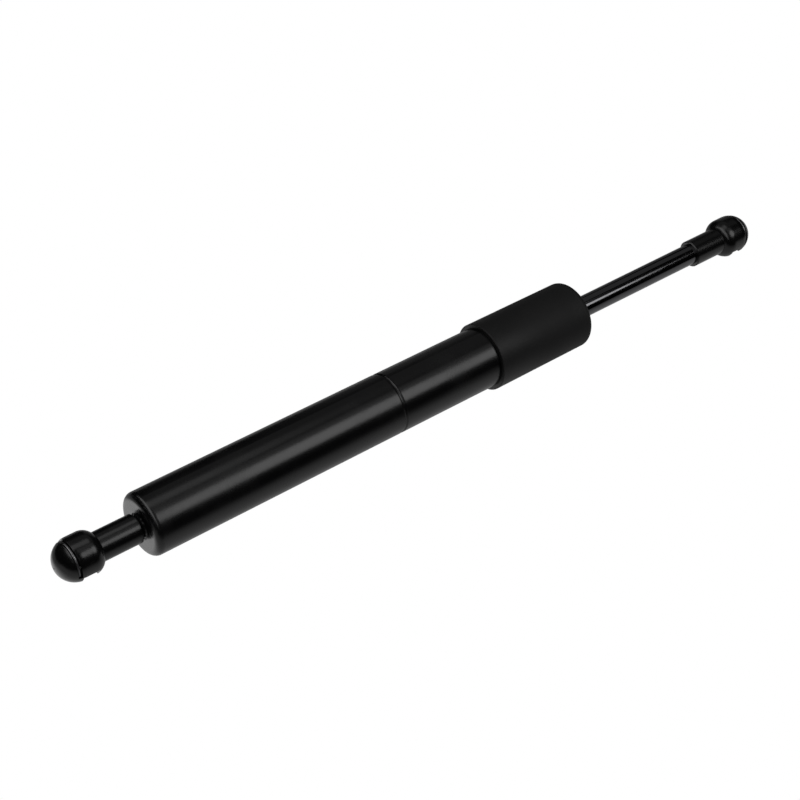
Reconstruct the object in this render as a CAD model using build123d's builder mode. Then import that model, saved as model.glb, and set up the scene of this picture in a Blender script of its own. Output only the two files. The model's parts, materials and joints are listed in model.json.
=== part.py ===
from build123d import *
from math import acos, cos, degrees, radians, sin, sqrt
import os

# Gas strut stay: a sealed steel tube, a rod that slides and turns in it, and a plastic ball
# socket screwed on each end. All sizes are in millimetres. +X runs from the tube end to the
# rod end, +Z is up, both socket mouths face -Z, and the origin is the ball centre of the
# tube-end socket. The rod is drawn fully out, which is how the stay is supplied.

# Ball sockets, the same at both ends
ball_r = 5.0
ball_play = 0.05
head_r = 9.4
head_straight = 4.2
dome_offset = 0.5
shoulder_r = 6.0
shank_r = 6.4
shank_chamfer = 0.4
fitting_length = 27.5
mouth_depth = 7.2
skirt_depth = 3.5
skirt_start = 2.0
skirt_reach = 5.3
mouth_lead_in = 0.5
thread_r = 4.0
thread_length = 14.0
thread_tip = 0.6
hole_beyond_thread = 1.0

# Safety clips, one in each socket
wire_r = 0.75
clip_sink = 1.0
clip_rise = 0.45
clip_offset = 3.3
clip_lean = 2.0
clip_travel = 3.0
clip_play = 0.1
clip_foot_drop = 2.2
clip_foot = 1.55
clip_bend_r = 0.9

# Pressure tube
tube_r = 14.0
tube_wall = 1.5
tube_length = 233.2
end_wall = 2.5
end_round = 3.2
lip_reach = 3.0
lip_round = 2.4
bead_r = 1.25
bead_depth = 0.5
inner_play = 0.05

# Protective sleeve
sleeve_length = 55.0
sleeve_mouth_wall = 1.8
sleeve_draft = 0.2
sleeve_end_wall = 2.1
sleeve_round = 3.0
sleeve_gap = 0.1
sleeve_rod_play = 0.4
sleeve_mouth_chamfer = 0.3

# End stud
stud_head_r = 6.2
stud_head = 2.0
stud_neck = 1.5

# Guide and seal pack, from the rolled lip inwards
retaining_disc_thickness = 1.2
seal_length = 5.5
seal_lip_width = 1.0
seal_body_play = 0.5
washer_thickness = 1.0
guide_length = 7.3
bush_wall = 1.0
rod_play = 0.03
seal_play = 0.02
loose_play = 0.4
ring_section_r = 0.8
ring_groove_play = 0.3

# Rod and piston pack
rod_r = 5.0
exposed_rod = 78.6
stroke = 70.0
stop_gap = 0.1
buffer_length = 4.0
buffer_edge = 3.5
piston_washer_edge = 1.5
piston_length = 6.5
piston_play = 0.08
piston_ring_play = 0.03
piston_ring_width = 2.0
piston_ring_depth = 2.0
piston_groove_play = 0.3
orifice_r = 0.6
orifice_edge = 4.5
orifice_count = 3
flow_disc_thickness = 1.0
flow_disc_edge = 2.9
flow_notch = 1.6
tenon_r = 3.5
tenon_play = 0.05
rivet_head_r = 5.6
rivet_head = 1.5
rod_edge = 0.3

# Partition with its temperature valve, held by the bead rolled into the tube
end_gap = 2.1
bead_to_partition_face = 4.2
partition_length = 13.3
ring_to_partition_end = 4.2
seat_recess_r = 5.5
seat_recess = 4.5
disc_recess_r = 6.2
disc_recess = 4.4
poppet_r = 3.6
poppet_head = 1.2
poppet_travel = 0.6
stem_r = 1.3
stem_play = 0.05
collar_r = 2.6
collar = 0.6
vent_r = 0.45
vent_circle_r = 2.4
vent_count = 4
disc_thickness = 0.4
disc_count = 3
disc_play = 0.1
retainer_wall = 2.2
retainer_thickness = 1.2

# Places along the axis
tube_face_x = fitting_length + stud_neck
tube_end_x = tube_face_x + tube_length
sleeve_end_x = tube_end_x + sleeve_gap + sleeve_end_wall
sleeve_mouth_x = sleeve_end_x - sleeve_length
rod_face_x = sleeve_end_x + exposed_rod
rod_ball_x = rod_face_x + fitting_length
retaining_disc_x = tube_end_x - tube_wall - retaining_disc_thickness
seal_x = retaining_disc_x - seal_length
washer_x = seal_x - washer_thickness
guide_x = washer_x - guide_length
shoulder_x = guide_x - stop_gap - buffer_length
piston_washer_x = shoulder_x - washer_thickness
piston_x = piston_washer_x - piston_length
flow_disc_x = piston_x - flow_disc_thickness
rivet_x = flow_disc_x - rivet_head
partition_end_x = rivet_x - stroke - end_gap
partition_x = partition_end_x - partition_length

# Shared radii
bore_r = tube_r - tube_wall
insert_r = bore_r - inner_play
lip_r = bore_r - lip_reach
buffer_r = bore_r - buffer_edge
piston_washer_r = bore_r - piston_washer_edge
flow_disc_r = bore_r - flow_disc_edge
orifice_circle_r = bore_r - orifice_edge
seat_r = ball_r + ball_play
clip_line_r = head_r - clip_sink - wire_r
bead_centre_r = tube_r + bead_r - bead_depth
bead_reach = sqrt((bead_r + tube_wall) ** 2 - (bead_centre_r - bore_r) ** 2)
partition_bead_x = partition_end_x - bead_to_partition_face
guide_bead_x = guide_x - bead_reach
ring_groove_r = bore_r - 2 * ring_section_r - inner_play
ring_line_r = bore_r - inner_play / 2 - ring_section_r
ring_groove_width = 2 * (ring_section_r + ring_groove_play)

os.makedirs("parts", exist_ok=True)


def finish(piece, label):
    """Name a finished piece and write it."""
    piece.label = label
    export_step(piece, f"parts/{label}.step")
    low = piece.bounding_box().min
    high = piece.bounding_box().max
    print(f"{label}: x {low.X:.2f} to {high.X:.2f}, z {low.Z:.2f} to {high.Z:.2f}")


def plain_ring(label, start_x, length, inner_r, outer_r):
    """A turned ring of rectangular section about the strut's axis."""
    with BuildPart() as ring:
        with BuildSketch(Plane.YZ.offset(start_x)):
            Circle(outer_r)
            Circle(inner_r, mode=Mode.SUBTRACT)
        extrude(amount=length)
    finish(ring.part, label)


def o_ring(label, centre_x):
    """A rubber ring that seals a turned insert against the tube's bore."""
    with BuildPart() as ring:
        with BuildSketch(Plane.XZ):
            with Locations((centre_x, ring_line_r)):
                Circle(ring_section_r)
        revolve(axis=Axis.X)
    finish(ring.part, label)


def clip_plane(ball_x, inward):
    """The plane of a socket's clip: outboard of the ball, and leaning further out at its crown."""
    lean = radians(clip_lean)
    origin = (ball_x - inward * clip_offset, 0, 0)
    return Plane(origin=origin, x_dir=(0, 1, 0), z_dir=(cos(lean), 0, inward * sin(lean)))


def ball_socket(label, ball_x, inward):
    """A domed head with a ball seat, on a threaded shank; inward is +1 or -1 along X."""
    side = Plane(origin=(ball_x, 0, 0), x_dir=(inward, 0, 0), z_dir=(0, -inward, 0))
    shank_face_x = ball_x + inward * fitting_length
    shoulder_turn = degrees(acos((shank_r - head_r + shoulder_r) / shoulder_r))
    core_r = clip_line_r - wire_r - clip_play
    slot_width = 2 * (wire_r + clip_play)
    cut = 2 * head_r
    with BuildPart() as socket:
        with BuildSketch(side):
            with BuildLine():
                dome = CenterArc((-dome_offset, 0), head_r, 180, -90)
                straight = Line(dome @ 1, (head_straight, head_r))
                shoulder = CenterArc((head_straight, head_r - shoulder_r), shoulder_r, 90, -shoulder_turn)
                Polyline(shoulder @ 1, (fitting_length, shank_r), (fitting_length, 0), dome @ 0)
            make_face()
        revolve(axis=Axis.X)
        shank_rim = socket.edges().filter_by(GeomType.CIRCLE).sort_by(Axis.X)[-1 if inward > 0 else 0]
        chamfer(shank_rim, shank_chamfer)
        # threaded hole, up the shank
        with BuildSketch(Plane.YZ.offset(shank_face_x)):
            Circle(thread_r)
        extrude(amount=-inward * (thread_length + hole_beyond_thread), mode=Mode.SUBTRACT)
        # flat mouth, and the relieved part of the skirt on the shank side
        with BuildSketch(side):
            with Locations((0, -mouth_depth)):
                Rectangle(2 * cut, cut, align=(Align.CENTER, Align.MAX))
            with Locations((-skirt_start, -skirt_depth)):
                Rectangle(skirt_start + skirt_reach, cut, align=(Align.MIN, Align.MAX))
        extrude(amount=cut, both=True, mode=Mode.SUBTRACT)
        # ball seat and the way into it
        with BuildSketch(side):
            with BuildLine():
                seat = CenterArc((0, 0), seat_r, 0, 90)
                Polyline(
                    seat @ 1,
                    (0, -mouth_depth),
                    (seat_r + mouth_lead_in, -mouth_depth),
                    (seat_r, -skirt_depth),
                    seat @ 0,
                )
            make_face()
        revolve(axis=Axis(origin=(ball_x, 0, 0), direction=(0, 0, 1)), mode=Mode.SUBTRACT)
        # clip slot round the head, open outwards, and its windows into the seat
        with BuildSketch(clip_plane(ball_x, inward)):
            with Locations((0, -clip_foot_drop - slot_width / 2)):
                Rectangle(2 * cut, 2 * cut, align=(Align.CENTER, Align.MIN))
            with Locations((0, clip_rise)):
                Circle(core_r, mode=Mode.SUBTRACT)
                Rectangle(2 * core_r, cut, align=(Align.CENTER, Align.MAX), mode=Mode.SUBTRACT)
            with Locations((0, clip_travel / 2 - clip_foot_drop)):
                Rectangle(2 * core_r, clip_travel + slot_width)
        extrude(amount=slot_width / 2, both=True, mode=Mode.SUBTRACT)
    finish(socket.part, label)


def safety_clip(label, ball_x, inward):
    """A bent spring wire that rides in the socket's slot; its feet reach in beside the ball."""
    foot_tip = clip_line_r - clip_bend_r - clip_foot
    with BuildPart() as clip:
        with BuildLine(clip_plane(ball_x, inward)) as wire:
            foot = Line((-foot_tip, -clip_foot_drop), (clip_bend_r - clip_line_r, -clip_foot_drop))
            bend = JernArc(foot @ 1, foot % 1, clip_bend_r, -90)
            Line(bend @ 1, (-clip_line_r, clip_rise))
            crown = CenterArc((0, clip_rise), clip_line_r, 180, -180)
            far_leg = Line(crown @ 1, (clip_line_r, clip_bend_r - clip_foot_drop))
            far_bend = JernArc(far_leg @ 1, far_leg % 1, clip_bend_r, -90)
            Line(far_bend @ 1, (foot_tip, -clip_foot_drop))
        with BuildSketch(Plane(origin=wire.line @ 0, z_dir=wire.line % 0)):
            Circle(wire_r)
        sweep()
    finish(clip.part, label)


# Fittings at both ends
ball_socket("tube_end_socket", 0, 1)
ball_socket("rod_end_socket", rod_ball_x, -1)
safety_clip("tube_end_clip", 0, 1)
safety_clip("rod_end_clip", rod_ball_x, -1)

# Pressure tube: one end drawn closed, the other rolled over its guide pack, with two beads
with BuildPart() as pressure_tube:
    with BuildSketch(Plane.XZ) as wall:
        with Locations((tube_face_x, 0)):
            Rectangle(tube_length, tube_r, align=(Align.MIN, Align.MIN))
        outer_corners = wall.vertices().group_by(Axis.Y)[-1].sort_by(Axis.X)
        fillet(outer_corners[0], end_round)
        fillet(wall.vertices().sort_by(Axis.Y)[-2:].sort_by(Axis.X)[-1], lip_round)
        with Locations((tube_face_x + end_wall, 0)):
            Rectangle(
                tube_length - end_wall - tube_wall, bore_r, align=(Align.MIN, Align.MIN), mode=Mode.SUBTRACT
            )
        with Locations((tube_face_x, 0)):
            Rectangle(end_wall, thread_r, align=(Align.MIN, Align.MIN), mode=Mode.SUBTRACT)
        with Locations((tube_end_x, 0)):
            Rectangle(tube_wall, lip_r, align=(Align.MAX, Align.MIN), mode=Mode.SUBTRACT)
        with Locations((partition_bead_x, bead_centre_r), (guide_bead_x, bead_centre_r)):
            Circle(bead_r + tube_wall)
        with Locations((tube_face_x, tube_r)):
            Rectangle(tube_length, 2 * tube_wall + bead_r, align=(Align.MIN, Align.MIN), mode=Mode.SUBTRACT)
        with Locations((partition_bead_x, bead_centre_r), (guide_bead_x, bead_centre_r)):
            Circle(bead_r, mode=Mode.SUBTRACT)
    revolve(axis=Axis.X)
    inner_corners = pressure_tube.edges().filter_by(GeomType.CIRCLE).filter_by(
        lambda edge: abs(edge.radius - bore_r) < inner_play and edge.center().X < tube_face_x + 2 * end_wall
    )
    fillet(inner_corners, end_round - tube_wall)
finish(pressure_tube.part, "pressure_tube")

# Stud welded through the closed end, for the tube-end socket
with BuildPart() as end_stud:
    with BuildSketch(Plane.YZ.offset(tube_face_x - thread_length)):
        Circle(thread_r)
    extrude(amount=thread_length + end_wall)
    chamfer(end_stud.edges().sort_by(Axis.X)[0], thread_tip)
    with BuildSketch(Plane.YZ.offset(tube_face_x + end_wall)):
        Circle(stud_head_r)
    extrude(amount=stud_head)
finish(end_stud.part, "end_stud")

# Plastic sleeve over the rod end of the tube
sleeve_mouth_r = tube_r + sleeve_mouth_wall
sleeve_end_r = sleeve_mouth_r - sleeve_draft
with BuildPart() as protective_sleeve:
    with BuildSketch(Plane.XZ) as section:
        with BuildLine():
            Polyline(
                (sleeve_mouth_x, 0),
                (sleeve_mouth_x, sleeve_mouth_r),
                (sleeve_end_x, sleeve_end_r),
                (sleeve_end_x, 0),
                close=True,
            )
        make_face()
        fillet(section.vertices().sort_by(Axis.X)[-2:].sort_by(Axis.Y)[-1], sleeve_round)
        chamfer(section.vertices().sort_by(Axis.Y)[-1], sleeve_mouth_chamfer)
        with Locations((sleeve_mouth_x, 0)):
            Rectangle(
                sleeve_length - sleeve_end_wall, tube_r, align=(Align.MIN, Align.MIN), mode=Mode.SUBTRACT
            )
        with Locations((sleeve_end_x, 0)):
            Rectangle(
                sleeve_end_wall, rod_r + sleeve_rod_play, align=(Align.MAX, Align.MIN), mode=Mode.SUBTRACT
            )
    revolve(axis=Axis.X)
finish(protective_sleeve.part, "protective_sleeve")

# Guide and seal pack
plain_ring("retaining_disc", retaining_disc_x, retaining_disc_thickness, rod_r + loose_play, insert_r)
plain_ring("back_up_washer", washer_x, washer_thickness, rod_r + loose_play, insert_r)
plain_ring("guide_bush", guide_x, guide_length, rod_r + rod_play, rod_r + bush_wall)

with BuildPart() as rod_seal:
    with BuildSketch(Plane.XZ) as section:
        with Locations((seal_x, rod_r + seal_body_play)):
            Rectangle(seal_length, insert_r - rod_r - seal_body_play, align=(Align.MIN, Align.MIN))
        for lip_x in (seal_x, seal_x + seal_length - seal_lip_width):
            with Locations((lip_x, rod_r + seal_play)):
                Rectangle(seal_lip_width, seal_body_play, align=(Align.MIN, Align.MIN))
        with Locations((seal_x, (rod_r + insert_r) / 2)):
            SlotCenterToCenter(seal_length, seal_lip_width, mode=Mode.SUBTRACT)
    revolve(axis=Axis.X)
finish(rod_seal.part, "rod_seal")

guide_ring_x = guide_x + guide_length / 2
with BuildPart() as rod_guide:
    with BuildSketch(Plane.XZ):
        with Locations((guide_x, rod_r + bush_wall)):
            Rectangle(guide_length, insert_r - rod_r - bush_wall, align=(Align.MIN, Align.MIN))
        with Locations((guide_ring_x, ring_groove_r)):
            Rectangle(ring_groove_width, tube_r, align=(Align.CENTER, Align.MIN), mode=Mode.SUBTRACT)
    revolve(axis=Axis.X)
finish(rod_guide.part, "rod_guide")
o_ring("guide_o_ring", guide_ring_x)

# Rod: thread at the outer end, tenon riveted over the piston pack at the inner end
with BuildPart() as piston_rod:
    with BuildSketch(Plane.YZ.offset(rivet_x)):
        Circle(rivet_head_r)
    extrude(amount=rivet_head)
    chamfer(piston_rod.edges().sort_by(Axis.X)[0], rod_edge)
    with BuildSketch(Plane.YZ.offset(flow_disc_x)):
        Circle(tenon_r)
    extrude(amount=shoulder_x - flow_disc_x)
    with BuildSketch(Plane.YZ.offset(shoulder_x)):
        Circle(rod_r)
    extrude(amount=rod_face_x - shoulder_x)
    with BuildSketch(Plane.YZ.offset(rod_face_x)):
        Circle(thread_r)
    extrude(amount=thread_length)
    chamfer(piston_rod.edges().sort_by(Axis.X)[-1], thread_tip)
finish(piston_rod.part, "piston_rod")

# Piston pack on the rod's tenon
tenon_hole_r = tenon_r + tenon_play
piston_groove_r = bore_r - piston_ring_play - piston_ring_depth
piston_ring_x = piston_x + piston_length / 2
plain_ring("stop_buffer", shoulder_x, buffer_length, rod_r, buffer_r)
plain_ring("piston_washer", piston_washer_x, washer_thickness, tenon_hole_r, piston_washer_r)
plain_ring(
    "piston_ring",
    piston_ring_x - piston_ring_width / 2,
    piston_ring_width,
    piston_groove_r + piston_ring_play,
    bore_r - piston_ring_play,
)

with BuildPart() as piston:
    with BuildSketch(Plane.YZ.offset(piston_x)):
        Circle(bore_r - piston_play)
        Circle(tenon_hole_r, mode=Mode.SUBTRACT)
        with PolarLocations(orifice_circle_r, orifice_count):
            Circle(orifice_r, mode=Mode.SUBTRACT)
    extrude(amount=piston_length)
    with BuildSketch(Plane.YZ.offset(piston_ring_x)):
        Circle(tube_r)
        Circle(piston_groove_r, mode=Mode.SUBTRACT)
    extrude(amount=piston_ring_width / 2 + piston_groove_play, both=True, mode=Mode.SUBTRACT)
finish(piston.part, "piston")

with BuildPart() as flow_disc:
    with BuildSketch(Plane.YZ.offset(flow_disc_x)):
        Circle(flow_disc_r)
        Circle(tenon_hole_r, mode=Mode.SUBTRACT)
        with PolarLocations(orifice_circle_r, orifice_count):
            SlotCenterToCenter(2 * flow_notch, flow_notch, mode=Mode.SUBTRACT)
    extrude(amount=flow_disc_thickness)
finish(flow_disc.part, "flow_disc")

# Partition, sealed in the bore and gripped by the tube's visible bead
partition_ring_x = partition_x + ring_to_partition_end
stem_hole_r = stem_r + stem_play
with BuildPart() as partition:
    with BuildSketch(Plane.XZ):
        with Locations((partition_x, stem_hole_r)):
            Rectangle(partition_length, insert_r - stem_hole_r, align=(Align.MIN, Align.MIN))
        with Locations((partition_bead_x, bore_r - bead_depth - 2 * inner_play)):
            Rectangle(
                2 * (bead_reach + inner_play), tube_r, align=(Align.CENTER, Align.MIN), mode=Mode.SUBTRACT
            )
        with Locations((partition_ring_x, ring_groove_r)):
            Rectangle(ring_groove_width, tube_r, align=(Align.CENTER, Align.MIN), mode=Mode.SUBTRACT)
        with Locations((partition_x, 0)):
            Rectangle(disc_recess, disc_recess_r, align=(Align.MIN, Align.MIN), mode=Mode.SUBTRACT)
        with Locations((partition_end_x, 0)):
            Rectangle(seat_recess, seat_recess_r, align=(Align.MAX, Align.MIN), mode=Mode.SUBTRACT)
    revolve(axis=Axis.X)
    with BuildSketch(Plane.YZ.offset(partition_x)):
        with PolarLocations(vent_circle_r, vent_count):
            Circle(vent_r)
    extrude(amount=partition_length, mode=Mode.SUBTRACT)
finish(partition.part, "partition")
o_ring("partition_o_ring", partition_ring_x)

# Temperature valve: the discs bow in the cold and lift the poppet off its seat
valve_seat_x = partition_end_x - seat_recess
disc_floor_x = partition_x + disc_recess
collar_x = disc_floor_x - inner_play - poppet_travel - collar
discs_x = collar_x - disc_count * disc_thickness
retainer_x = discs_x - retainer_thickness
with BuildPart() as valve_poppet:
    with BuildSketch(Plane.YZ.offset(valve_seat_x)):
        Circle(poppet_r)
    extrude(amount=poppet_head)
    with BuildSketch(Plane.YZ.offset(valve_seat_x)):
        Circle(stem_r)
    extrude(amount=discs_x - valve_seat_x)
    with BuildSketch(Plane.YZ.offset(collar_x)):
        Circle(collar_r)
    extrude(amount=collar)
finish(valve_poppet.part, "valve_poppet")

with BuildPart() as bimetal_discs:
    for number in range(disc_count):
        with BuildSketch(Plane.YZ.offset(discs_x + number * disc_thickness)):
            Circle(disc_recess_r - disc_play)
            Circle(stem_hole_r, mode=Mode.SUBTRACT)
        extrude(amount=disc_thickness - inner_play)
finish(bimetal_discs.part, "bimetal_discs")

plain_ring("disc_retainer", retainer_x, retainer_thickness, disc_recess_r - retainer_wall, disc_recess_r)
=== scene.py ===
import json
import math

import bmesh
import bpy
from mathutils import Matrix, Vector


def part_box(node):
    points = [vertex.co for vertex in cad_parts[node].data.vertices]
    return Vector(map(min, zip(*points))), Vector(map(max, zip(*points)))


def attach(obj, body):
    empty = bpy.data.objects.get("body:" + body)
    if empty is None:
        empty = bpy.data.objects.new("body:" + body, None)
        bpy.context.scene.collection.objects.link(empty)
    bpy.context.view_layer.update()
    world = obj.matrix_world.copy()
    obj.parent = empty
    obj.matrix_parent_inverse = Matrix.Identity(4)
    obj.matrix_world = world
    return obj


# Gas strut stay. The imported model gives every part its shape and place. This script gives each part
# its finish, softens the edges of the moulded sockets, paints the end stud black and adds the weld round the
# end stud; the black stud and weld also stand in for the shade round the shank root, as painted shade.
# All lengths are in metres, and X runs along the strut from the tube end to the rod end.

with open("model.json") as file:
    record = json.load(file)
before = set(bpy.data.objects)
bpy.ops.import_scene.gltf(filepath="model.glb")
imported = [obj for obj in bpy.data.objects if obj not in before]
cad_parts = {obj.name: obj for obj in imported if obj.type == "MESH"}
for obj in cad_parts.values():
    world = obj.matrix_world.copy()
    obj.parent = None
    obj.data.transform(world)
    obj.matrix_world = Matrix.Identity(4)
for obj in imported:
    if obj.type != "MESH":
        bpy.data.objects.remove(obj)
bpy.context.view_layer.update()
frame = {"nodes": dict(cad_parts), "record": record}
parts = frame["nodes"]

MM = 0.001


# ------------------------------------------------------------------ places, read from the parts

TUBE_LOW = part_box("pressure_tube")[0]
SLEEVE_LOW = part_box("protective_sleeve")[0]
HEAD_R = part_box("tube_end_socket")[1].z
ROD_DOME_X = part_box("rod_end_socket")[1].x - HEAD_R
STRUT_MIDDLE = Vector(((TUBE_LOW.x + ROD_DOME_X) / 2, 0.0, 0.0))


# ------------------------------------------------------------------ camera

LOOK_ALONG = 133.8 * MM
LOOK_AT = Vector((TUBE_LOW.x + LOOK_ALONG, 0.0, 0.0))
LOOK_ABOVE = 1.12 * MM
CAMERA_DISTANCE = 0.795
CAMERA_AZIMUTH = math.radians(-39.1)
CAMERA_ELEVATION = math.radians(37.6)
CAMERA_LENS = 82.35
CAMERA_NEAR = 0.01
CAMERA_FAR = 50


def make_camera():
    """The camera looks down and along the strut from the tube end, a little to its near side."""
    camera = bpy.data.objects.new("camera", bpy.data.cameras.new("camera"))
    bpy.context.scene.collection.objects.link(camera)
    camera.data.lens = CAMERA_LENS
    camera.data.clip_start = CAMERA_NEAR
    camera.data.clip_end = CAMERA_FAR
    back = Vector((
        math.sin(CAMERA_AZIMUTH) * math.cos(CAMERA_ELEVATION),
        -math.cos(CAMERA_AZIMUTH) * math.cos(CAMERA_ELEVATION),
        math.sin(CAMERA_ELEVATION),
    ))
    turn = (-back).to_track_quat("-Z", "Y")
    camera.rotation_mode = "QUATERNION"
    camera.rotation_quaternion = turn
    camera.location = LOOK_AT + turn @ Vector((0, -LOOK_ABOVE, 0)) + back * CAMERA_DISTANCE
    bpy.context.scene.camera = camera


# ------------------------------------------------------------------ node helpers


def add(tree, kind, inputs=None, **settings):
    """Add a node, set it up, and fill its inputs with plain values or with other nodes' outputs."""
    made = tree.nodes.new(kind)
    for name, value in settings.items():
        setattr(made, name, value)
    for name, value in (inputs or {}).items():
        if isinstance(value, bpy.types.NodeSocket):
            tree.links.new(value, made.inputs[name])
        else:
            made.inputs[name].default_value = value
    return made


def calc(tree, operation, *values):
    """One Math node; the result comes back as a socket."""
    return add(tree, "ShaderNodeMath", dict(enumerate(values)), operation=operation).outputs[0]


def ramp(tree, value, low, high, at_low=0.0, at_high=1.0):
    """A soft step of value from low to high."""
    made = add(
        tree,
        "ShaderNodeMapRange",
        {"Value": value, "From Min": low, "From Max": high, "To Min": at_low, "To Max": at_high},
        interpolation_type="SMOOTHSTEP",
    )
    return made.outputs["Result"]


def noise(tree, vector, scale, detail=2.0, rough=0.5):
    """Soft noise over a vector; scale is in waves per metre."""
    made = add(
        tree, "ShaderNodeTexNoise", {"Vector": vector, "Scale": scale, "Detail": detail, "Roughness": rough}
    )
    return made.outputs["Fac"]


def mix_colour(tree, share, first, second):
    made = add(tree, "ShaderNodeMix", {"Factor": share}, data_type="RGBA")
    for name, value in ((6, first), (7, second)):
        if isinstance(value, bpy.types.NodeSocket):
            tree.links.new(value, made.inputs[name])
        else:
            made.inputs[name].default_value = (*value, 1)
    return made.outputs[2]


def new_group(name, inputs, outputs):
    """An empty shader group with its sockets; inputs give (name, kind, value), outputs (name, kind)."""
    tree = bpy.data.node_groups.new(name, "ShaderNodeTree")
    for label, kind, value in inputs:
        socket = tree.interface.new_socket(label, in_out="INPUT", socket_type=kind)
        if value is not None:
            socket.default_value = value
    for label, kind in outputs:
        tree.interface.new_socket(label, in_out="OUTPUT", socket_type=kind)
    return tree, tree.nodes.new("NodeGroupInput").outputs, tree.nodes.new("NodeGroupOutput").inputs


NUMBER = "NodeSocketFloat"
VECTOR = "NodeSocketVector"


def use(tree, group, **inputs):
    """Place a group in a material with its own values; underscores stand for spaces in socket names."""
    made = tree.nodes.new("ShaderNodeGroup")
    made.node_tree = group
    for name, value in inputs.items():
        socket = made.inputs[name.replace("_", " ")]
        if isinstance(value, bpy.types.NodeSocket):
            tree.links.new(value, socket)
        else:
            socket.default_value = value
    return made.outputs


# ------------------------------------------------------------------ effects that finishes share


def strut_place_group():
    """Where a point is on a round part: along the axis, out from it, and around it as a direction."""
    tree, _, out = new_group(
        "strut_place", [], [("Place", VECTOR), ("Along", NUMBER), ("Out", NUMBER), ("Unrolled", VECTOR)]
    )
    place = add(tree, "ShaderNodeTexCoord").outputs["Object"]
    split = add(tree, "ShaderNodeSeparateXYZ", {0: place}).outputs
    flat = add(tree, "ShaderNodeCombineXYZ", {1: split[1], 2: split[2]}).outputs[0]
    out_from_axis = add(tree, "ShaderNodeVectorMath", {0: flat}, operation="LENGTH").outputs["Value"]
    direction = add(tree, "ShaderNodeVectorMath", {0: flat}, operation="NORMALIZE").outputs[0]
    turned = add(tree, "ShaderNodeSeparateXYZ", {0: direction}).outputs
    tree.links.new(place, out["Place"])
    tree.links.new(split[0], out["Along"])
    tree.links.new(out_from_axis, out["Out"])
    unrolled = add(tree, "ShaderNodeCombineXYZ", {0: split[0], 1: turned[1], 2: turned[2]}).outputs[0]
    tree.links.new(unrolled, out["Unrolled"])
    return tree


NIB_SPACING = 5.0  # in waves
NIB_RIM = 0.035
NIB_CORE = 0.010
NIB_HEIGHT = 0.8


def orange_peel_group():
    """The shallow waves of sprayed and stoved paint, with a few dust nibs under the film."""
    tree, given, out = new_group(
        "orange_peel",
        [("Place", VECTOR, None), ("Wave", NUMBER, 0.0015), ("Nibs", NUMBER, 0.3)],
        [("Height", NUMBER)],
    )
    per_metre = calc(tree, "DIVIDE", 1.0, given["Wave"])
    waves = noise(tree, given["Place"], per_metre, 1.5, 0.4)
    nibs_per_metre = calc(tree, "DIVIDE", per_metre, NIB_SPACING)
    cells = add(tree, "ShaderNodeTexVoronoi", {"Vector": given["Place"], "Scale": nibs_per_metre}).outputs
    nib = ramp(tree, cells["Distance"], NIB_RIM, NIB_CORE)
    draw = add(tree, "ShaderNodeSeparateColor", {0: cells["Color"]}).outputs[0]
    nib = calc(tree, "MULTIPLY", nib, calc(tree, "LESS_THAN", draw, given["Nibs"]))
    tree.links.new(calc(tree, "ADD", waves, calc(tree, "MULTIPLY", nib, NIB_HEIGHT)), out["Height"])
    return tree


CRUMBS_PER_PEBBLE = 1.7
PEBBLES_PER_PATCH = 45.0


def mould_grain_group():
    """The fine pebbled texture of a spark-eroded mould, with slow differences in its depth."""
    tree, given, out = new_group(
        "mould_grain",
        [("Place", VECTOR, None), ("Pebble", NUMBER, 0.0003)],
        [("Height", NUMBER), ("Gloss", NUMBER)],
    )
    per_metre = calc(tree, "DIVIDE", 1.0, given["Pebble"])
    pebbles = add(
        tree,
        "ShaderNodeTexVoronoi",
        {"Vector": given["Place"], "Scale": per_metre, "Smoothness": 0.6},
        feature="SMOOTH_F1",
    ).outputs["Distance"]
    crumbs = noise(tree, given["Place"], calc(tree, "MULTIPLY", per_metre, CRUMBS_PER_PEBBLE), 3.0, 0.6)
    slow = noise(tree, given["Place"], calc(tree, "DIVIDE", per_metre, PEBBLES_PER_PATCH), 2.0, 0.5)
    tree.links.new(calc(tree, "ADD", pebbles, crumbs), out["Height"])
    fine = calc(tree, "MULTIPLY", calc(tree, "SUBTRACT", crumbs, 0.5), 0.5)
    tree.links.new(calc(tree, "ADD", slow, fine), out["Gloss"])
    return tree


def turned_rings_group():
    """Fine rings about the axis, as turning, grinding and polishing leave them."""
    tree, given, out = new_group(
        "turned_rings",
        [("Along", NUMBER, 0.0), ("Out", NUMBER, 0.0), ("Pitch", NUMBER, 0.0002)],
        [("Height", NUMBER)],
    )
    per_metre = calc(tree, "DIVIDE", 1.0, given["Pitch"])
    line = add(tree, "ShaderNodeCombineXYZ", {0: given["Along"], 1: given["Out"]}).outputs[0]
    tree.links.new(noise(tree, line, per_metre, 4.0, 0.65), out["Height"])
    return tree


LINE_STRETCH = (0.12, 1.0, 1.0)
LINE_SHOWS = (0.62, 0.74)


def drawn_lines_group():
    """Faint straight lines along the axis, left by drawing a tube or by a rod running in its seal."""
    tree, given, out = new_group(
        "drawn_lines",
        [("Unrolled", VECTOR, None), ("Lines", NUMBER, 60.0)],
        [("Height", NUMBER), ("Mask", NUMBER)],
    )
    stretched = add(
        tree, "ShaderNodeVectorMath", {0: given["Unrolled"], 1: LINE_STRETCH}, operation="MULTIPLY"
    ).outputs[0]
    height = noise(tree, stretched, given["Lines"], 3.0, 0.7)
    tree.links.new(height, out["Height"])
    tree.links.new(ramp(tree, height, *LINE_SHOWS), out["Mask"])
    return tree


SMEAR_SHOWS = (0.42, 0.68)
SCRATCH_TURNS = (0.5, 1.7, 2.6)
SCRATCH_SCALE = (14, 1, 1)
SCRATCHES_PER_SMEAR = 6.0
SCRATCH_WIDTH = 0.0035
SCRATCH_PATCH = (0.60, 0.70)


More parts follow.
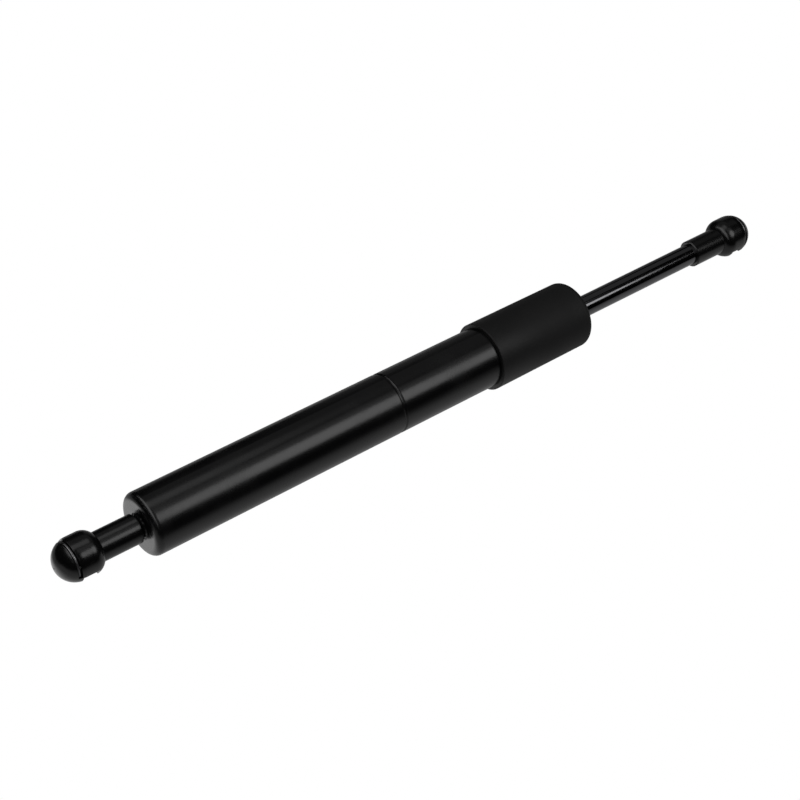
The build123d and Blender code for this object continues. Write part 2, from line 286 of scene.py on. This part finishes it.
def handling_group():
    """Soft smears of oil and dust from hands and packing, and short fine scratches."""
    tree, given, out = new_group(
        "handling",
        [("Place", VECTOR, None), ("Smear", NUMBER, 0.02)],
        [("Smears", NUMBER), ("Scratches", NUMBER)],
    )
    per_metre = calc(tree, "DIVIDE", 1.0, given["Smear"])
    smears = noise(tree, given["Place"], per_metre, 4.0, 0.6)
    tree.links.new(ramp(tree, smears, *SMEAR_SHOWS), out["Smears"])
    scratches = None
    for turn in SCRATCH_TURNS:
        turned = add(
            tree,
            "ShaderNodeMapping",
            {"Vector": given["Place"], "Rotation": (turn, 0.4 * turn, turn), "Scale": SCRATCH_SCALE},
        ).outputs[0]
        streak = noise(tree, turned, calc(tree, "MULTIPLY", per_metre, SCRATCHES_PER_SMEAR), 1.0, 0.5)
        line = ramp(tree, calc(tree, "ABSOLUTE", calc(tree, "SUBTRACT", streak, 0.5)), SCRATCH_WIDTH, 0.0)
        patch = ramp(tree, noise(tree, turned, per_metre, 1.0, 0.5), *SCRATCH_PATCH)
        line = calc(tree, "MULTIPLY", line, patch)
        scratches = line if scratches is None else calc(tree, "MAXIMUM", scratches, line)
    tree.links.new(scratches, out["Scratches"])
    return tree


WEAR_PATCHES_PER_METRE = 700.0
WEAR_CONTRAST = 2.2
WEAR_STARTS = 1.15
WEAR_FULL = 1.35


def edge_wear_group():
    """A broken line of wear: strongest on the edge itself, gone beyond Width, and patchy along it."""
    tree, given, out = new_group(
        "edge_wear",
        [
            ("Distance", NUMBER, 1.0),
            ("Width", NUMBER, 0.0005),
            ("Place", VECTOR, None),
            ("Amount", NUMBER, 0.5),
        ],
        [("Wear", NUMBER)],
    )
    widths_off = calc(tree, "DIVIDE", calc(tree, "ABSOLUTE", given["Distance"]), given["Width"])
    near = calc(tree, "SUBTRACT", 1.0, widths_off)
    patches = noise(tree, given["Place"], WEAR_PATCHES_PER_METRE, 4.0, 0.65)
    uneven = calc(tree, "MULTIPLY", calc(tree, "SUBTRACT", patches, 0.5), WEAR_CONTRAST)
    level = calc(tree, "ADD", near, uneven)
    worn = ramp(tree, level, calc(tree, "SUBTRACT", WEAR_STARTS, given["Amount"]), WEAR_FULL)
    tree.links.new(calc(tree, "MULTIPLY", worn, calc(tree, "GREATER_THAN", near, 0.0)), out["Wear"])
    return tree


strut_place = strut_place_group()
orange_peel = orange_peel_group()
mould_grain = mould_grain_group()
turned_rings = turned_rings_group()
drawn_lines = drawn_lines_group()
handling = handling_group()
edge_wear = edge_wear_group()


# ------------------------------------------------------------------ finishes


def new_finish(name, metallic=0.0, ior=1.5):
    """A material with its shader, and the group that says where a point is."""
    material = bpy.data.materials.new(name)
    material.use_nodes = True
    tree = material.node_tree
    shader = tree.nodes["Principled BSDF"]
    shader.inputs["Metallic"].default_value = metallic
    shader.inputs["IOR"].default_value = ior
    return material, tree, shader.inputs, use(tree, strut_place)


def bump(tree, height, depth):
    """A Bump node for a height that runs from 0 to 1 over depth metres."""
    return add(tree, "ShaderNodeBump", {"Height": height, "Distance": depth, "Strength": 1.0}).outputs[0]


PAINT_BLACK = (0.0022, 0.0022, 0.0024)
PAINT_DUSTY = (0.0045, 0.0045, 0.0047)
PAINT_WORN = (0.030, 0.030, 0.031)
PAINT_ROUGHNESS = 0.235
PAINT_DEPTH = 0.004 * MM
WORN_EDGE_X = TUBE_LOW.x + 1.1 * MM
WORN_EDGE_WIDTH = 0.9 * MM


def tube_paint():
    """Semi-gloss black stoved paint on the drawn tube."""
    material, tree, shader, at = new_finish("black_tube_paint")
    peel = use(tree, orange_peel, Place=at["Place"], Wave=1.6 * MM, Nibs=0.25)
    marks = use(tree, handling, Place=at["Place"], Smear=22 * MM)
    lines = use(tree, drawn_lines, Unrolled=at["Unrolled"], Lines=26.0)
    off = calc(tree, "SUBTRACT", at["Along"], WORN_EDGE_X)
    worn = use(tree, edge_wear, Distance=off, Width=WORN_EDGE_WIDTH, Place=at["Place"], Amount=0.35)
    wear = worn["Wear"]
    dust = calc(tree, "MULTIPLY", marks["Smears"], 0.35)
    colour = mix_colour(tree, dust, PAINT_BLACK, PAINT_DUSTY)
    colour = mix_colour(tree, calc(tree, "MULTIPLY", wear, 0.6), colour, PAINT_WORN)
    tree.links.new(colour, shader["Base Color"])
    rough = calc(tree, "ADD", PAINT_ROUGHNESS, calc(tree, "MULTIPLY", marks["Smears"], 0.05))
    rough = calc(tree, "ADD", rough, calc(tree, "MULTIPLY", marks["Scratches"], 0.12))
    tree.links.new(calc(tree, "ADD", rough, calc(tree, "MULTIPLY", wear, 0.2)), shader["Roughness"])
    height = calc(tree, "ADD", peel["Height"], calc(tree, "MULTIPLY", lines["Height"], 0.5))
    height = calc(tree, "SUBTRACT", height, calc(tree, "MULTIPLY", marks["Scratches"], 0.5))
    tree.links.new(bump(tree, height, PAINT_DEPTH), shader["Normal"])
    return material


SLEEVE_BLACK = (0.0046, 0.0046, 0.0048)
SLEEVE_SMEARED = (0.0060, 0.0060, 0.0061)
SLEEVE_IOR = 1.41
SLEEVE_ROUGHNESS = 0.60
SLEEVE_RUBBED = 0.15
SLEEVE_RUB_FADES = 34 * MM
SLEEVE_RUB_FULL = 4 * MM
SLEEVE_DEPTH = 0.012 * MM


def sleeve_plastic():
    """Matt black moulding with a fine eroded texture, rubbed a little smoother near its open end."""
    material, tree, shader, at = new_finish("matt_sleeve_plastic", ior=SLEEVE_IOR)
    grain = use(tree, mould_grain, Place=at["Place"], Pebble=0.28 * MM)
    marks = use(tree, handling, Place=at["Place"], Smear=16 * MM)
    mouth = calc(tree, "SUBTRACT", at["Along"], SLEEVE_LOW.x)
    rubbed = ramp(tree, mouth, SLEEVE_RUB_FADES, SLEEVE_RUB_FULL)
    colour = mix_colour(tree, marks["Smears"], SLEEVE_BLACK, SLEEVE_SMEARED)
    tree.links.new(colour, shader["Base Color"])
    rough = calc(tree, "ADD", SLEEVE_ROUGHNESS, calc(tree, "MULTIPLY", grain["Gloss"], 0.10))
    rough = calc(tree, "SUBTRACT", rough, calc(tree, "MULTIPLY", rubbed, SLEEVE_RUBBED))
    tree.links.new(rough, shader["Roughness"])
    height = calc(tree, "SUBTRACT", grain["Height"], calc(tree, "MULTIPLY", marks["Scratches"], 0.6))
    tree.links.new(bump(tree, height, SLEEVE_DEPTH), shader["Normal"])
    return material


SOCKET_BLACK = (0.0030, 0.0030, 0.0032)
SOCKET_FIBRE = (0.0075, 0.0074, 0.0072)
SOCKET_SCRATCHED = (0.02, 0.02, 0.02)
SOCKET_ROUGHNESS = 0.16
SOCKET_DEPTH = 0.004 * MM
SWIRLS_PER_METRE = 420.0
SWIRL_SCALE = (1, 3, 3)
FIBRE_SHOWS = (0.55, 0.72)


def socket_plastic():
    """Satin glass-filled nylon: a close grain, faint swirls of fibre, and short scratches."""
    material, tree, shader, at = new_finish("satin_socket_nylon")
    grain = use(tree, mould_grain, Place=at["Place"], Pebble=0.22 * MM)
    marks = use(tree, handling, Place=at["Place"], Smear=7 * MM)
    flow = add(tree, "ShaderNodeMapping", {"Vector": at["Place"], "Scale": SWIRL_SCALE}).outputs[0]
    swirl = noise(tree, flow, SWIRLS_PER_METRE, 5.0, 0.7)
    fibre = ramp(tree, swirl, *FIBRE_SHOWS)
    colour = mix_colour(tree, fibre, SOCKET_BLACK, SOCKET_FIBRE)
    colour = mix_colour(tree, marks["Scratches"], colour, SOCKET_SCRATCHED)
    tree.links.new(colour, shader["Base Color"])
    rough = calc(tree, "ADD", SOCKET_ROUGHNESS, calc(tree, "MULTIPLY", grain["Gloss"], 0.12))
    tree.links.new(calc(tree, "ADD", rough, calc(tree, "MULTIPLY", fibre, 0.08)), shader["Roughness"])
    height = calc(tree, "ADD", grain["Height"], calc(tree, "MULTIPLY", swirl, 1.2))
    tree.links.new(bump(tree, height, SOCKET_DEPTH), shader["Normal"])
    return material


ROD_DARK = (0.118, 0.118, 0.124)
ROD_PALE = (0.160, 0.160, 0.164)
ROD_LINED = (0.20, 0.20, 0.20)
ROD_ROUGHNESS = 0.105
ROD_DEPTH = 0.0012 * MM
TINTS_PER_METRE = 90.0


def rod_finish():
    """Dark nitrided rod, ground round and polished, with the faint lines its seal has drawn along it."""
    material, tree, shader, at = new_finish("nitrided_rod", metallic=1.0)
    rings = use(tree, turned_rings, Along=at["Along"], Out=at["Out"], Pitch=0.16 * MM)
    lines = use(tree, drawn_lines, Unrolled=at["Unrolled"], Lines=45.0)
    marks = use(tree, handling, Place=at["Place"], Smear=10 * MM)
    tint = noise(tree, at["Place"], TINTS_PER_METRE, 3.0, 0.6)
    colour = mix_colour(tree, tint, ROD_DARK, ROD_PALE)
    colour = mix_colour(tree, calc(tree, "MULTIPLY", lines["Mask"], 0.5), colour, ROD_LINED)
    tree.links.new(colour, shader["Base Color"])
    rough = calc(tree, "ADD", ROD_ROUGHNESS, calc(tree, "MULTIPLY", marks["Smears"], 0.05))
    rough = calc(tree, "ADD", rough, calc(tree, "MULTIPLY", lines["Mask"], 0.08))
    tree.links.new(rough, shader["Roughness"])
    height = calc(tree, "ADD", rings["Height"], calc(tree, "MULTIPLY", lines["Height"], 0.6))
    tree.links.new(bump(tree, height, ROD_DEPTH), shader["Normal"])
    return material


WIRE_DARK = (0.10, 0.10, 0.105)
WIRE_RUBBED_AND_HIGHLIGHT = (0.30, 0.30, 0.30)
WIRE_ROUGH, WIRE_SMOOTH = 0.42, 0.26
WIRE_DEPTH = 0.006 * MM
CROWN_STARTS = HEAD_R - 1.4 * MM
CROWN_FULL = HEAD_R - 0.1 * MM
RUBS_PER_METRE = 1500.0
RUB_SHOWS = (0.35, 0.6)


def clip_wire():
    """Phosphated spring wire, rubbed bright along its crown; the lighter crown is also a painted highlight
    where the wire stands proud of its slot.
    """
    material, tree, shader, at = new_finish("spring_wire", metallic=1.0)
    patches = noise(tree, at["Place"], RUBS_PER_METRE, 4.0, 0.65)
    # Lighter colour on the crown: partly rubbed metal, partly a painted highlight where the wire stands
    # proud of its slot.
    crown = ramp(tree, at["Out"], CROWN_STARTS, CROWN_FULL)
    rubbed = calc(tree, "MULTIPLY", crown, ramp(tree, patches, *RUB_SHOWS))
    colour = mix_colour(tree, rubbed, WIRE_DARK, WIRE_RUBBED_AND_HIGHLIGHT)
    tree.links.new(colour, shader["Base Color"])
    tree.links.new(ramp(tree, rubbed, 0.0, 1.0, WIRE_ROUGH, WIRE_SMOOTH), shader["Roughness"])
    tree.links.new(bump(tree, patches, WIRE_DEPTH), shader["Normal"])
    return material


def machined(name, dark, light, roughness, pitch, depth):
    """A turned or pressed metal part: fine rings about the axis and slow stains in its colour."""
    material, tree, shader, at = new_finish(name, metallic=1.0)
    rings = use(tree, turned_rings, Along=at["Along"], Out=at["Out"], Pitch=pitch)
    marks = use(tree, handling, Place=at["Place"], Smear=6 * MM)
    tree.links.new(mix_colour(tree, marks["Smears"], light, dark), shader["Base Color"])
    rough = calc(tree, "ADD", roughness, calc(tree, "MULTIPLY", marks["Smears"], 0.12))
    tree.links.new(rough, shader["Roughness"])
    tree.links.new(bump(tree, rings["Height"], depth), shader["Normal"])
    return material


def moulded(name, dark, light, roughness, pebble, depth):
    """Rubber or plastic that is moulded or cut: a close grain and a dusty bloom."""
    material, tree, shader, at = new_finish(name)
    grain = use(tree, mould_grain, Place=at["Place"], Pebble=pebble)
    marks = use(tree, handling, Place=at["Place"], Smear=5 * MM)
    tree.links.new(mix_colour(tree, marks["Smears"], dark, light), shader["Base Color"])
    rough = calc(tree, "ADD", roughness, calc(tree, "MULTIPLY", grain["Gloss"], 0.2))
    tree.links.new(rough, shader["Roughness"])
    tree.links.new(bump(tree, grain["Height"], depth), shader["Normal"])
    return material


finishes = {
    "tube_paint": tube_paint(),
    "sleeve_plastic": sleeve_plastic(),
    "socket_plastic": socket_plastic(),
    "rod_finish": rod_finish(),
    "clip_wire": clip_wire(),
    "plated_steel": machined(
        "zinc_plate", (0.42, 0.43, 0.45), (0.60, 0.61, 0.62), 0.28, 0.30 * MM, 0.004 * MM
    ),
    "guide_aluminium": machined(
        "turned_aluminium", (0.55, 0.55, 0.57), (0.72, 0.72, 0.73), 0.30, 0.22 * MM, 0.006 * MM
    ),
    "bush_bronze": machined(
        "bush_bronze", (0.33, 0.21, 0.11), (0.52, 0.35, 0.18), 0.34, 0.35 * MM, 0.004 * MM
    ),
    "piston_steel": machined(
        "sintered_steel", (0.12, 0.12, 0.13), (0.22, 0.22, 0.23), 0.48, 0.40 * MM, 0.010 * MM
    ),
    "valve_brass": machined(
        "turned_brass", (0.48, 0.34, 0.14), (0.66, 0.50, 0.22), 0.22, 0.18 * MM, 0.004 * MM
    ),
    "disc_steel": machined(
        "rolled_strip", (0.34, 0.33, 0.31), (0.48, 0.47, 0.45), 0.30, 0.50 * MM, 0.003 * MM
    ),
    "seal_rubber": moulded(
        "seal_rubber", (0.010, 0.010, 0.010), (0.022, 0.022, 0.021), 0.45, 0.20 * MM, 0.008 * MM
    ),
    "buffer_rubber": moulded(
        "buffer_rubber", (0.014, 0.014, 0.014), (0.030, 0.029, 0.028), 0.55, 0.35 * MM, 0.015 * MM
    ),
    "ring_plastic": moulded(
        "filled_ptfe", (0.17, 0.12, 0.07), (0.26, 0.19, 0.12), 0.40, 0.25 * MM, 0.006 * MM
    ),
}


def paint_part(piece, slot):
    piece.data.materials.clear()
    piece.data.materials.append(finishes[slot])


def paint_all_parts():
    for entry in frame["record"]["subparts"]:
        paint_part(parts[entry["node"]], entry["material_slot"])


# ------------------------------------------------------------------ softened edges


SHARP_FROM = math.radians(35)
SOCKET_EDGE = 0.15 * MM


def soften(name, width):
    """Round a part's sharp edges by width, as a mould or a deburring wheel leaves them."""
    edges = parts[name].modifiers.new("soft_edges", "BEVEL")
    edges.width = width
    edges.segments = 2
    edges.limit_method = "ANGLE"
    edges.angle_limit = SHARP_FROM
    edges.use_clamp_overlap = True
    edges.harden_normals = False


# ------------------------------------------------------------------ weld round the end stud, also painted shade at the shank root

STUD_R = 4.0 * MM
WELD_FOOT_R = 6.1 * MM
WELD_NECK = 1.15 * MM
WELD_SWELL = 0.22 * MM
WELD_SINK = 0.05 * MM
RIPPLE_HEIGHT = 0.05 * MM
WANDER_HEIGHT = 0.04 * MM
WANDERS = 3
WELD_RIPPLES = 17
WELD_STEPS = 9
WELD_TURNS = 136


def stud_weld_painted_shade():
    """A rippled fillet of weld metal where the stud meets the tube's closed end, in the tube's black paint;
    its dark ring also stands in for the shade round the shank root, as painted shade.
    """
    mesh = bmesh.new()
    rings = []
    for turn in range(WELD_TURNS):
        around = 2 * math.pi * turn / WELD_TURNS
        ripple = RIPPLE_HEIGHT * math.sin(WELD_RIPPLES * around)
        ripple += WANDER_HEIGHT * math.sin(WANDERS * around + 1)
        ring = []
        for step in range(WELD_STEPS):
            share = step / (WELD_STEPS - 1)
            swell = WELD_SWELL * math.sin(math.pi * share) + ripple * math.sin(math.pi * share) ** 0.5
            out = WELD_FOOT_R + (STUD_R - WELD_SINK - WELD_FOOT_R) * share + swell
            along = TUBE_LOW.x + WELD_SINK - (WELD_NECK + WELD_SINK) * share - swell
            ring.append(mesh.verts.new((along, out * math.cos(around), out * math.sin(around))))
        rings.append(ring)
    for turn, ring in enumerate(rings):
        following = rings[(turn + 1) % WELD_TURNS]
        for step in range(WELD_STEPS - 1):
            face = mesh.faces.new((ring[step], ring[step + 1], following[step + 1], following[step]))
            face.smooth = True
    bmesh.ops.recalc_face_normals(mesh, faces=mesh.faces)
    data = bpy.data.meshes.new("stud_weld_painted_shade")
    mesh.to_mesh(data)
    mesh.free()
    weld = bpy.data.objects.new("stud_weld_painted_shade", data)
    bpy.context.scene.collection.objects.link(weld)
    # The tube's black paint on the weld: the dark ring it adds round the shank root is painted shade as well
    # as weld metal.
    paint_part(weld, "tube_paint")
    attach(weld, "cylinder")


# ------------------------------------------------------------------ light and floor


STRUT_AXIS = Vector((1, 0, 0))


def soft_light(name, place, aim, width, height, radiance, shape="RECTANGLE"):
    """A softbox at place, facing aim, with its width laid along the strut."""
    light = bpy.data.lights.new(name, "AREA")
    light.shape = shape
    light.size = width
    light.size_y = height
    face = width * height * (math.pi / 4 if shape == "ELLIPSE" else 1.0)
    light.energy = radiance * math.pi * face
    lamp = bpy.data.objects.new(name, light)
    bpy.context.scene.collection.objects.link(lamp)
    back = (Vector(place) - Vector(aim)).normalized()
    up = back.cross(STRUT_AXIS).normalized()
    side = up.cross(back)
    lamp.matrix_world = Matrix.Translation(place) @ Matrix((side, up, back)).transposed().to_4x4()
    lamp.visible_camera = False


def beside_strut(along, around, reach):
    """A point at a place along the strut, around degrees up from the front horizon."""
    up = math.radians(around)
    return (along, -reach * math.cos(up), reach * math.sin(up))


LIGHT_REACH = 1.0
KEY_ALONG, KEY_UP = 0.67, 42
FILL_ALONG, FILL_UP = 0.55, 68
LEFT_ALONG, LEFT_ACROSS = 0.05, 0.08
WIDE_ALONG, WIDE_ACROSS = 0.55, 0.55
BACK_ALONG = 1.75


def studio_lights():
    """A big key box and a dim fill in front, two cards overhead, and a dim card behind the rod end."""
    key = beside_strut(KEY_ALONG, KEY_UP, LIGHT_REACH)
    soft_light("key_box", key, (KEY_ALONG, 0, 0), 0.88, 0.60, radiance=2.2, shape="ELLIPSE")
    fill = beside_strut(FILL_ALONG, FILL_UP, LIGHT_REACH)
    soft_light("key_fill", fill, (FILL_ALONG, 0, 0), 0.9, 0.36, radiance=0.36)
    left = (LEFT_ALONG, LEFT_ACROSS, 1.0)
    soft_light("ceiling_left", left, (LEFT_ALONG, LEFT_ACROSS, 0), 1.0, 0.42, radiance=0.70)
    wide = (WIDE_ALONG, WIDE_ACROSS, 1.02)
    soft_light("ceiling_wide", wide, (WIDE_ALONG, WIDE_ACROSS, 0), 1.7, 1.3, radiance=0.12)
    soft_light("back_card", (BACK_ALONG, 1.5, 0.42), (BACK_ALONG, 0, 0), 1.6, 0.9, radiance=0.10)


CARD_REACH = 1.0
CARD_FRONT = 18  # degrees up from the front horizon
CARD_BACK = 146
CARD_INNER_AT_FRONT = -0.27
CARD_INNER_AT_BACK = -0.09
CARD_NARROWEST = 0.05
CARD_SWELL = 0.34
CARD_STEPS = 12
CARD_GLOW = 1.9


def bent_card():
    """A lit card bent over the tube end, tapering to both ends, that edges the domed socket with light."""
    corners = []
    for step in range(CARD_STEPS + 1):
        share = step / CARD_STEPS
        around = CARD_FRONT + (CARD_BACK - CARD_FRONT) * share
        inner = CARD_INNER_AT_FRONT + (CARD_INNER_AT_BACK - CARD_INNER_AT_FRONT) * share
        outer = inner - CARD_NARROWEST - CARD_SWELL * math.sin(math.pi * share)
        for along in (outer, inner):
            reach = math.sqrt(CARD_REACH**2 - along**2)
            corners.append(beside_strut(along, around, reach))
    faces = [(row, row + 1, row + 3, row + 2) for row in range(0, 2 * CARD_STEPS, 2)]
    mesh = bpy.data.meshes.new("bent_card")
    mesh.from_pydata(corners, [], faces)
    card = bpy.data.objects.new("bent_card", mesh)
    bpy.context.scene.collection.objects.link(card)
    material = bpy.data.materials.new("lit_card")
    material.use_nodes = True
    tree = material.node_tree
    tree.nodes.clear()
    glow = add(tree, "ShaderNodeEmission", {"Strength": CARD_GLOW})
    add(tree, "ShaderNodeOutputMaterial", {0: glow.outputs[0]})
    mesh.materials.append(material)
    card.visible_camera = False


DARK_ROOM = (0.003, 0.003, 0.003, 1)
WHITE = (1, 1, 1, 1)


def plain_world():
    """White to the camera; a dark room to everything else, so that the softboxes do the lighting."""
    world = bpy.data.worlds.new("studio")
    bpy.context.scene.world = world
    world.use_nodes = True
    tree = world.node_tree
    tree.nodes.clear()
    room = add(tree, "ShaderNodeBackground", {"Color": DARK_ROOM})
    backdrop = add(tree, "ShaderNodeBackground", {"Color": WHITE})
    seen = add(tree, "ShaderNodeLightPath").outputs["Is Camera Ray"]
    both = add(tree, "ShaderNodeMixShader", {0: seen, 1: room.outputs[0], 2: backdrop.outputs[0]})
    add(tree, "ShaderNodeOutputWorld", {0: both.outputs[0]})


FLOOR_Z = -0.30
FLOOR_SIZE = 12
SHEET_FRONT = (-0.92, -0.22)
SHEET_GLOW = 0.40
SHEET_BACK = (0.30, 0.70)
SHEET_BACK_LOSS = 0.14
ROD_PATCH = (1.25, -0.70)
ROD_PATCH_FADE = (0.75, 0.15)
ROD_PATCH_GLOW = 0.25
WINDOW = (-0.25, 0.34)
WINDOW_FADE = (0.50, 0.05)
WINDOW_GLOW = 0.95


def pale_floor():
    """A pale sheet under the strut, as its reflections see it: dark in front, brightest by the tube end.

    The camera sees plain white from above, and straight through from below.
    """
    bpy.ops.mesh.primitive_plane_add(size=FLOOR_SIZE, location=(STRUT_MIDDLE.x, 0, FLOOR_Z))
    floor = bpy.context.object
    floor.name = "floor"
    material = bpy.data.materials.new("pale_paper")
    material.use_nodes = True
    tree = material.node_tree
    tree.nodes.clear()
    place = add(tree, "ShaderNodeTexCoord").outputs["Object"]

    def distance_from(x, y):
        point = (x - STRUT_MIDDLE.x, y, 0)
        return add(tree, "ShaderNodeVectorMath", {0: place, 1: point}, operation="DISTANCE").outputs["Value"]

    across = add(tree, "ShaderNodeSeparateXYZ", {0: place}).outputs[1]
    sheet = ramp(tree, across, *SHEET_FRONT, 0.0, SHEET_GLOW)
    sheet = calc(tree, "SUBTRACT", sheet, ramp(tree, across, *SHEET_BACK, 0.0, SHEET_BACK_LOSS))
    rod_patch = ramp(tree, distance_from(*ROD_PATCH), *ROD_PATCH_FADE, 0.0, ROD_PATCH_GLOW)
    sheet = calc(tree, "ADD", sheet, rod_patch)
    window = ramp(tree, distance_from(*WINDOW), *WINDOW_FADE, 0.0, WINDOW_GLOW)
    glow = add(tree, "ShaderNodeEmission", {"Strength": calc(tree, "ADD", sheet, window)})
    bright = add(tree, "ShaderNodeEmission")
    seen = add(tree, "ShaderNodeLightPath").outputs["Is Camera Ray"]
    both = add(tree, "ShaderNodeMixShader", {0: seen, 1: glow.outputs[0], 2: bright.outputs[0]}).outputs[0]
    from_below = add(tree, "ShaderNodeNewGeometry").outputs["Backfacing"]
    clear = add(tree, "ShaderNodeBsdfTransparent").outputs[0]
    both = add(tree, "ShaderNodeMixShader", {0: from_below, 1: both, 2: clear}).outputs[0]
    add(tree, "ShaderNodeOutputMaterial", {0: both})
    floor.data.materials.append(material)


# ------------------------------------------------------------------ putting it together

make_camera()
studio_lights()
bent_card()
plain_world()
pale_floor()
bpy.context.scene.view_settings.view_transform = "Standard"
paint_all_parts()
# The end stud is painted black with the tube; this black also stands in for the shade round the shank root,
# as painted shade.
paint_part(parts["end_stud"], "tube_paint")
stud_weld_painted_shade()
for socket in ("tube_end_socket", "rod_end_socket"):
    soften(socket, SOCKET_EDGE)
